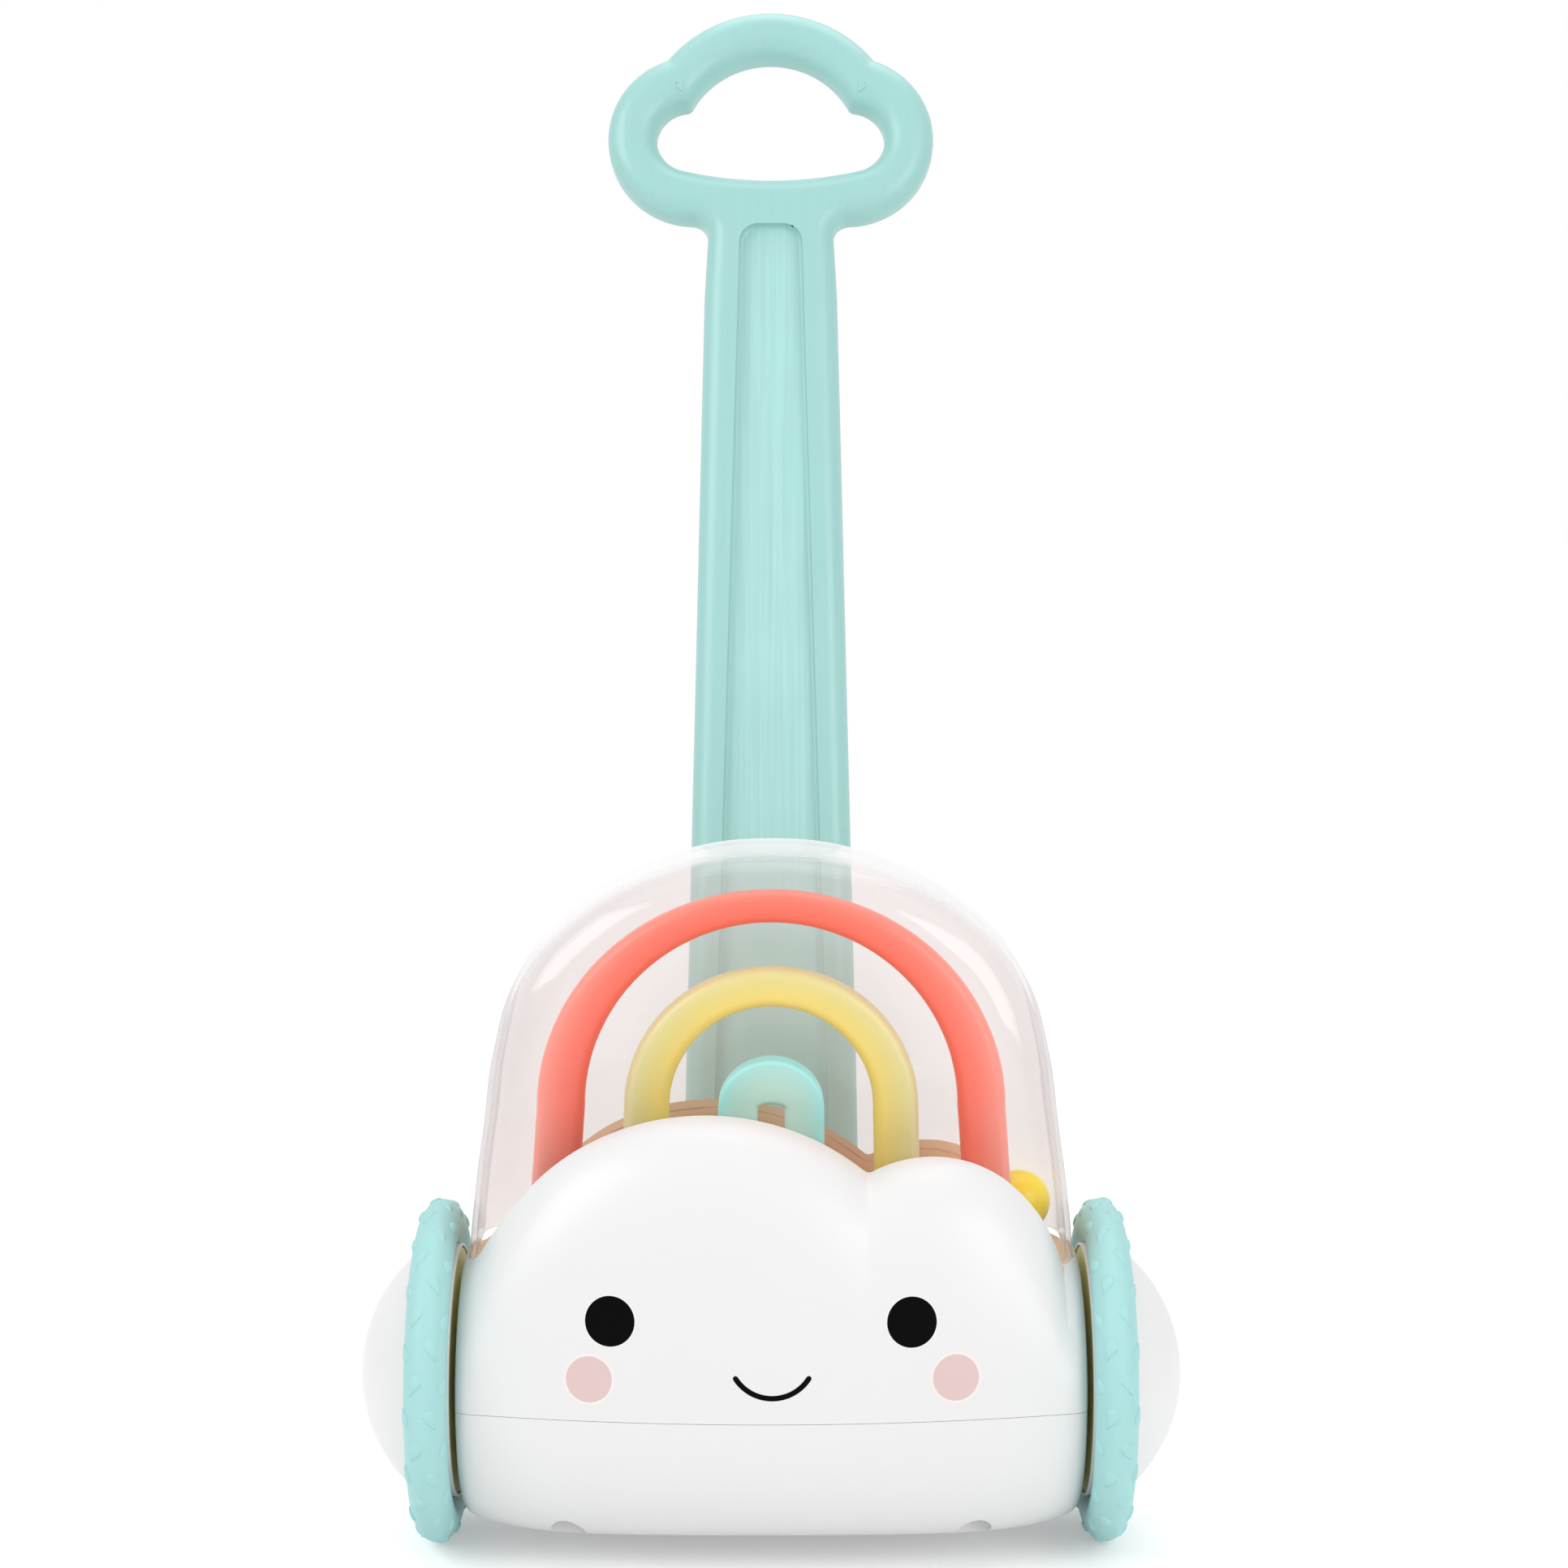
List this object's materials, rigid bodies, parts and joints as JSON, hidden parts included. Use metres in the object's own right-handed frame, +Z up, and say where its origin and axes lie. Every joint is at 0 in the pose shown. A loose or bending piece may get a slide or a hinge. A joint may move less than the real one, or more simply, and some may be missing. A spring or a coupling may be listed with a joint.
{
  "type": "toddler push toy",
  "caption": "Push toy for a walking toddler: smiling cloud housing between two wheels, clear popper dome with rainbow arches and balls, leaning handle with a cloud-shaped grip.",
  "frame": {"origin": "on the floor, in the middle of the toy's bounding box", "axes": "+Z up, +Y towards the child who holds the grip, +X along the wheels' axle towards the right of the smiling face as it is seen"},
  "size_m": [0.268, 0.231, 0.5161],
  "materials": {
    "housing": "white, glossy, slightly soft reflections",
    "dome": "clear, polished, 1.8 mm thick",
    "deck": "white, satin",
    "coral": "coral red, slightly translucent",
    "lemon": "pale yellow, slightly translucent",
    "mint": "pale teal, slightly translucent",
    "handle": "teal, satin",
    "ball_yellow": "yellow, glossy",
    "ball_coral": "coral red, glossy",
    "ball_teal": "teal, glossy",
    "tyre": "teal, soft, satin",
    "wheel": "white, glossy",
    "cover": "yellow, satin, seen in shade",
    "steel": "bright",
    "bush": "natural",
    "mechanism": "yellow, satin",
    "paddle": "yellow",
    "roller": "white, satin"
  },
  "bodies": {
    "toy_body": {"front_shell": "housing", "rear_shell": "housing", "base_shell": "housing", "clear_dome": "dome", "popper_deck": "deck", "coral_arch": "coral", "yellow_arch": "lemon", "teal_arch": "mint", "handle": "handle", "axle_bush_left": "bush", "axle_bush_right": "bush", "paddle_pin": "steel", "base_screw_1": "steel", "base_screw_2": "steel", "base_screw_3": "steel", "base_screw_4": "steel", "handle_screw_left": "steel", "handle_screw_right": "steel", "roller_pin_left": "steel", "roller_pin_right": "steel"},
    "wheels": {"axle": "steel", "popper_cam": "mechanism", "tyre_left": "tyre", "tyre_right": "tyre", "wheel_left": "wheel", "wheel_right": "wheel", "inner_cover_left": "cover", "inner_cover_right": "cover", "hub_dome_left": "wheel", "hub_dome_right": "wheel", "axle_nut_left": "steel", "axle_nut_right": "steel"},
    "paddle": {"popper_paddle": "paddle"},
    "roller_left": {"rear_roller_left": "roller"},
    "roller_right": {"rear_roller_right": "roller"},
    "ball_1": {"popper_ball_1": "ball_yellow"},
    "ball_2": {"popper_ball_2": "ball_coral"},
    "ball_3": {"popper_ball_3": "ball_yellow"},
    "ball_4": {"popper_ball_4": "ball_teal"},
    "ball_5": {"popper_ball_5": "ball_yellow"}
  },
  "joints": [
    {"name": "wheels_spin", "type": "hinge", "parent": "toy_body", "child": "wheels", "pos_m": [0, -0.05951, 0.056], "axis": [1, 0, 0], "continuous": true},
    {"name": "paddle_lift", "type": "hinge", "parent": "toy_body", "child": "paddle", "pos_m": [0, -0.03951, 0.082], "axis": [-1, 0, 0], "range_deg": [0, 7]},
    {"name": "roller_left_spin", "type": "hinge", "parent": "toy_body", "child": "roller_left", "pos_m": [-0.04, -0.01051, 0.0065], "axis": [1, 0, 0], "continuous": true},
    {"name": "roller_right_spin", "type": "hinge", "parent": "toy_body", "child": "roller_right", "pos_m": [0.04, -0.01051, 0.0065], "axis": [1, 0, 0], "continuous": true},
    {"name": "ball_1_pop", "type": "slide", "parent": "toy_body", "child": "ball_1", "axis": [-0.3, 0, 0.9539], "range_m": [0, 0.06]},
    {"name": "ball_2_pop", "type": "slide", "parent": "toy_body", "child": "ball_2", "axis": [0, 0, 1], "range_m": [0, 0.07]},
    {"name": "ball_3_pop", "type": "slide", "parent": "toy_body", "child": "ball_3", "axis": [0, 0, 1], "range_m": [0, 0.07]},
    {"name": "ball_4_pop", "type": "slide", "parent": "toy_body", "child": "ball_4", "axis": [0, 0, 1], "range_m": [0, 0.07]},
    {"name": "ball_5_pop", "type": "slide", "parent": "toy_body", "child": "ball_5", "axis": [0, 0, 1], "range_m": [0, 0.07]}
  ]
}
